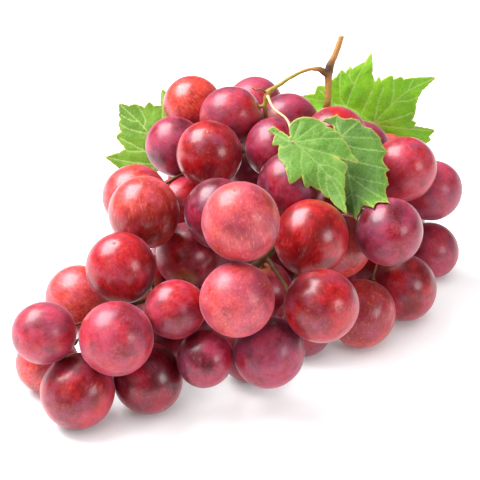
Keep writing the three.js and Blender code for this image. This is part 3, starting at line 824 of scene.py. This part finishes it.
def lift_blade(name, flat, origin, links):
    """How far the CAD leaf's middle lies off the plane at each point, smoothed."""
    source = frame["nodes"][name].data
    faces = [tuple(p.vertices) for p in source.polygons]
    tree = BVHTree.FromPolygons([v.co for v in source.vertices], faces)
    lift = np.full(len(flat), np.nan)
    for k, (across, up) in enumerate(flat):
        start = origin + (LEAF_RIGHT * across + LEAF_UP * up + LEAF_FACE * 60) * MM
        hit = tree.ray_cast(start, -LEAF_FACE)[0]
        if hit is None:
            continue
        back = tree.ray_cast(hit - LEAF_FACE * 1e-5, -LEAF_FACE)[0] or hit
        if (hit - back).length > 2.5 * MM:
            back = hit - LEAF_FACE * 0.8 * MM
        lift[k] = ((hit + back) / 2 - origin).dot(LEAF_FACE) / MM
    here, there, count = links
    known = ~np.isnan(lift)
    lift[~known] = np.median(lift[known])
    for turn in range(LIFT_ROUNDS):
        mean = np.bincount(here, lift[there], minlength=len(flat)) / count
        if turn < FILL_UNTIL:
            lift[~known] = mean[~known]
        if turn >= SMOOTH_FROM:
            lift = 0.4 * lift + 0.6 * mean
    return lift


def clear_of_berries(points, side, gap):
    """How far each point has to shift along the leaf's face to clear every berry."""
    face = np.array(LEAF_FACE)
    shift = np.zeros(len(points))
    for berry in berries:
        reach = berry["across"] * BERRY_STRETCH + gap
        towards = berry["centre"] - points
        depth = towards @ face
        inside = reach ** 2 - ((towards ** 2).sum(1) - depth ** 2)
        need = depth * side + np.sqrt(np.maximum(inside, 0))
        shift = np.where(inside > 0, np.maximum(shift, need), shift)
    return shift * side


def eased_route(points, radius):
    """A stalk's route, pushed clear of the berries and kept smooth."""
    route = np.array([tuple(p) for p in smooth_route(points, STALK_STEPS)])
    start = route.copy()
    for _ in range(EASE_ROUNDS):
        for berry in berries:
            away = route - berry["centre"]
            gap = np.linalg.norm(away, axis=1)
            need = berry["across"] * BERRY_STRETCH + radius + STALK_GAP * MM
            push = np.maximum(need - gap, 0)
            push[0] = 0
            route += away / gap[:, None] * push[:, None]
        shift = route - start
        shift[1:-1] = 0.5 * shift[1:-1] + 0.25 * (shift[:-2] + shift[2:])
        route = start + shift
    return route


def relief(leaf, flat, veins, from_vein, from_rim, seed):
    """How far a blade's points stand off its lifted middle: its fold, waves, puckers and sunk veins."""
    from_midrib, _ = distance_to(flat, veins[:1])
    fold = leaf["fold"] * (np.sqrt(from_midrib ** 2 + 1) - 1)
    waves = np.array([noise.noise(Vector((*p, seed * 9)) * 0.16) for p in flat])
    crimp = np.array([noise.noise(Vector((*p, seed * 5)) * 0.45) for p in flat])
    pucker = (1 - np.exp(-(from_vein / 2.2) ** 2)) * np.minimum(1, from_rim / 3)
    return fold + 0.6 * waves * np.minimum(1, from_vein / 3) + 0.12 * crimp + 0.30 * pucker


def eased_shift(shift, links):
    """The shift of each point, with its neighbours drawn along so that no step is left."""
    here, there, count = links
    spread = shift.copy()
    for _ in range(12):
        mean = np.bincount(here, spread[there], minlength=len(shift)) / count
        spread = np.where(np.abs(mean) > np.abs(shift), mean, shift)
    return spread


def point_normals(points, faces):
    normals = np.zeros_like(points)
    for f in faces:
        a, b, c = points[list(f)]
        normals[list(f)] += np.cross(b - a, c - a)
    return normals / np.linalg.norm(normals, axis=1)[:, None]


def closed_sheet(front, back, faces):
    """Points and faces of a closed sheet between a front layer of points and a back one."""
    total = len(front)
    closed = list(faces) + [tuple(total + k for k in reversed(f)) for f in faces]
    sides = {(f[k - 1], f[k]) for f in faces for k in range(3)}
    closed += [(a, total + a, total + b, b) for a, b in sorted(sides) if (b, a) not in sides]
    return np.vstack([front, back]), closed


def petiole(foot, stalk):
    """Points and faces of a leaf's own stalk, from the meeting of its veins."""
    route = [foot + LEAF_FACE * 0.1 * MM] + [(Vector(p) + PLAN_SHIFT) * MM for p in stalk]
    route = eased_route(route, PETIOLE_RADIUS * MM)
    count = len(route)
    swollen = 1 + 0.25 * np.exp(-np.linspace(0, 6, count)) + 0.5 * np.exp(-np.linspace(8, 0, count))
    rows, faces = tube(route, PETIOLE_RADIUS * MM * swollen)
    return np.array([tuple(p) for p in rows]), faces


def make_leaf(name, leaf, seed):
    meet, side, stalk = LEAF_STALKS[name]
    origin = (Vector(meet) + PLAN_SHIFT) * MM
    rim = fine_outline(leaf["outline"])
    veins = vein_lines(leaf)
    flat, faces = blade_plane(leaf, rim, veins)
    swayed = flat.copy()
    swayed[:, 0] += leaf["sway"] * np.maximum(0, flat[:, 1] - SWAY_START) ** 2
    links = neighbours(len(flat), faces)

    from_vein, along = distance_to(flat, veins)
    from_rim, _ = distance_to(flat, [np.vstack([rim, rim[:1]])])
    width = 0.26 - 0.14 * along
    vein = np.exp(-(from_vein / width) ** 2)
    lift = lift_blade(name, swayed, origin, links)
    lift = lift + relief(leaf, flat, veins, from_vein, from_rim, seed) - 0.10 * vein

    right, up, face = np.array(LEAF_RIGHT), np.array(LEAF_UP), np.array(LEAF_FACE)
    middle = (np.outer(swayed[:, 0], right) + np.outer(swayed[:, 1], up) + np.outer(lift, face)) * MM
    middle += np.array(origin)
    shift = clear_of_berries(middle, side, LEAF_CLEAR * MM)
    middle += np.outer(eased_shift(shift, links), face)

    normals = point_normals(middle, faces)
    if (normals @ face).mean() < 0:
        normals = -normals
        faces = [tuple(reversed(f)) for f in faces]
    half = (LEAF_HALF + 0.05 * np.minimum(1, from_rim / 2))[:, None] * MM
    ribs = (0.16 * vein)[:, None] * MM
    points, closed = closed_sheet(middle + normals * half, middle - normals * (half + ribs), faces)

    foot = Vector(middle[np.linalg.norm(flat, axis=1).argmin()])
    rows, stalk_faces = petiole(foot, stalk)
    closed += [tuple(len(points) + k for k in f) for f in stalk_faces]
    made = new_object(f"vine_{name}", np.vstack([points, rows]), closed)

    def on_both(values, on_stalk=0.0):
        return np.concatenate([values, values, np.full(len(rows), on_stalk)])

    plane = np.column_stack([flat, np.full(len(flat), seed * 10.0)])
    write_vectors(made.data, "blade", np.vstack([plane, plane, rows / MM]))
    write_numbers(made.data, "vein", on_both(np.exp(-(from_vein / (0.75 * width)) ** 2)))
    write_numbers(made.data, "rim", on_both(np.exp(-from_rim / 0.30)))
    write_numbers(made.data, "stalk", on_both(np.zeros(len(flat)), 1.0))
    vein_share = VEIN_SHARE["front" if side > 0 else "back"]
    made.data.materials.append(leaf_material(name, leaf["tones"], vein_share, seed))
    finish_piece(made, "leaf", name)


# ---------------------------------------------------------------- the stage


def add_light(name, place, area, watts, colour):
    light = bpy.data.lights.new(name, "AREA")
    light.shape = "RECTANGLE"
    light.size, light.size_y = area
    light.energy = watts
    light.color = colour
    made = bpy.data.objects.new(name, light)
    made.location = Vector(place)
    made.rotation_mode = "QUATERNION"
    made.rotation_quaternion = (-Vector(place)).to_track_quat("-Z", "Y")
    made.visible_camera = False
    bpy.context.scene.collection.objects.link(made)


def make_stage():
    low, high = (Vector(corner) for corner in cad_box)
    centre = (low + high) / 2
    back = Vector((math.sin(VIEW_AZIMUTH) * math.cos(VIEW_ELEVATION),
                   -math.cos(VIEW_AZIMUTH) * math.cos(VIEW_ELEVATION), math.sin(VIEW_ELEVATION)))
    camera = bpy.data.objects.new("camera", bpy.data.cameras.new("camera"))
    camera.data.lens = VIEW_LENS
    camera.data.sensor_width = 36
    camera.data.clip_start = 0.01
    camera.location = centre + VIEW_OFF_CENTRE + back * VIEW_DISTANCE
    camera.rotation_mode = "QUATERNION"
    camera.rotation_quaternion = (-back).to_track_quat("-Z", "Y")
    bpy.context.scene.collection.objects.link(camera)
    bpy.context.scene.camera = camera

    corners = [(x * FLOOR_HALF, y * FLOOR_HALF, low.z) for x, y in ((-1, -1), (1, -1), (1, 1), (-1, 1))]
    floor = new_object("floor", corners, [(0, 1, 2, 3)])
    material, tree, shader = new_material("floor_white")
    shader.inputs["Base Color"].default_value = FLOOR_COLOUR
    shader.inputs["Roughness"].default_value = 0.8
    shader.inputs["Specular IOR Level"].default_value = 0.2
    shader.inputs["Emission Color"].default_value = (1, 1, 1, 1)
    # The floor glows though it is no lamp, and ambient occlusion dims that glow near things: a painted
    # contact shadow.
    open_sky = tree.node("ShaderNodeAmbientOcclusion", {"Distance": FLOOR_SHADE}).outputs["AO"]
    glow = tree.times(tree.remap(open_sky, 0.05, 0.85, 0.15, 1.0), FLOOR_GLOW)
    tree.feed(shader.inputs["Emission Strength"], glow)
    floor.data.materials.append(material)

    world = bpy.data.worlds.new("studio")
    world.use_nodes = True
    world.node_tree.nodes["Background"].inputs["Color"].default_value = (1, 1, 1, 1)
    world.node_tree.nodes["Background"].inputs["Strength"].default_value = WORLD_LIGHT
    bpy.context.scene.world = world
    bpy.context.scene.view_settings.view_transform = "Standard"

    for name, (place, area, watts, colour) in LIGHTS.items():
        add_light(name, place, area, watts, colour)


# ---------------------------------------------------------------- all of it

make_stage()
skin = skin_group()
for number, one in enumerate(berries):
    make_berry(one, number, skin)
make_stem()
for number, (leaf_name, leaf_plan) in enumerate(LEAVES.items()):
    make_leaf(leaf_name, leaf_plan, number + 1)

bpy.context.view_layer.update()
